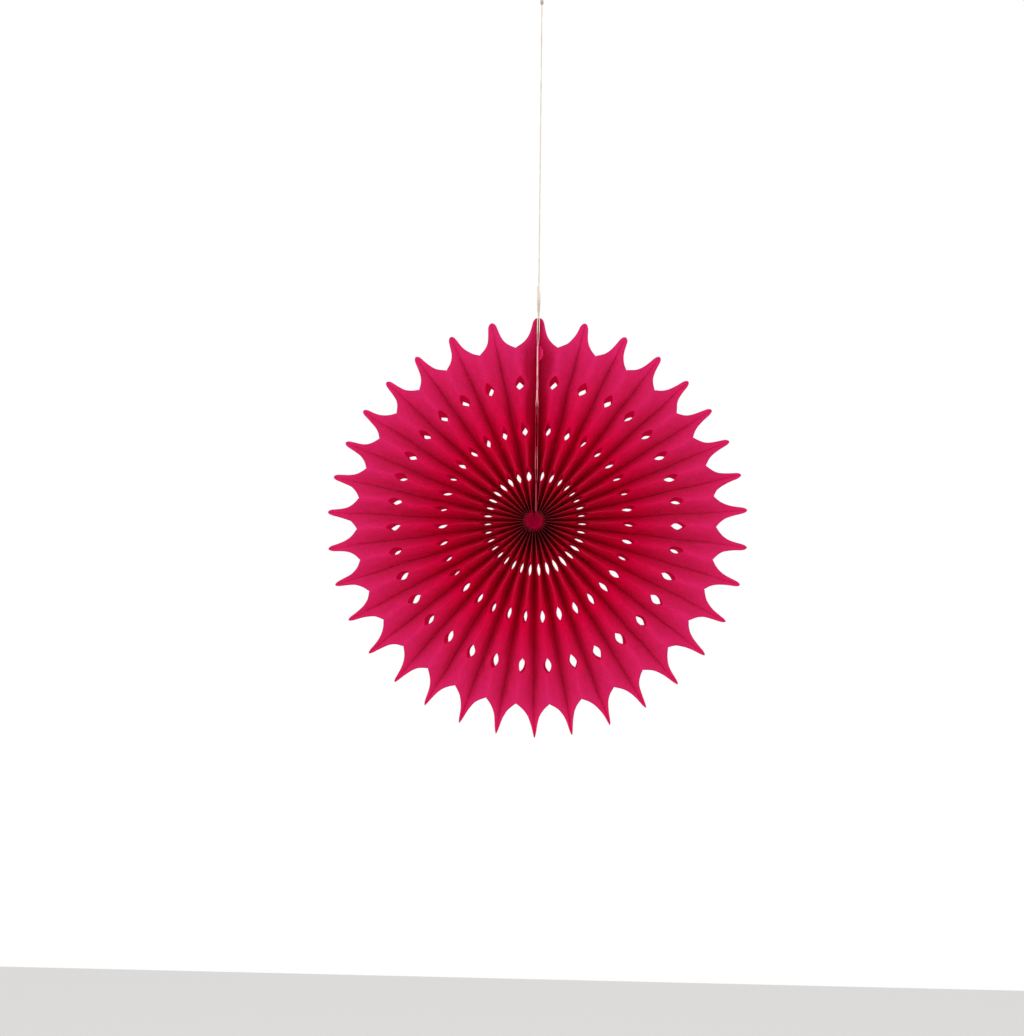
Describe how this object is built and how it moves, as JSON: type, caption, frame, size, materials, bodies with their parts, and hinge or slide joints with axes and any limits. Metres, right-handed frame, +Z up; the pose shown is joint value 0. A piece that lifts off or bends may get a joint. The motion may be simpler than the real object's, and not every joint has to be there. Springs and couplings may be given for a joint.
{
  "type": "paper fan rosette",
  "caption": "Round pleated tissue fan with pointed rim and rings of diamond holes, opened full circle and hung by a thread from its seam.",
  "frame": {"origin": "centre of the hub, at mid depth, which is the centre of the fan without its thread", "axes": "+Z up along the seam towards the hanging thread, -Y out of the front face, +X to the right seen from the front"},
  "size_m": [0.3993, 0.05, 0.7391],
  "materials": {
    "tissue": "matt crimson tissue paper, glued in cells and die-cut",
    "board": "crimson faced card with a pale cut edge",
    "tape": "white double-sided mounting tape",
    "thread": "undyed twisted cotton thread"
  },
  "bodies": {
    "root": {"tissue_rosette": "tissue", "board_left": "board", "board_right": "board", "tape_lower": "tape", "tape_middle": "tape", "tape_upper": "tape", "hanging_thread": "thread", "thread_tail_left": "thread", "thread_tail_right": "thread", "loop_knot": "thread", "hanging_loop": "thread"}
  },
  "joints": []
}
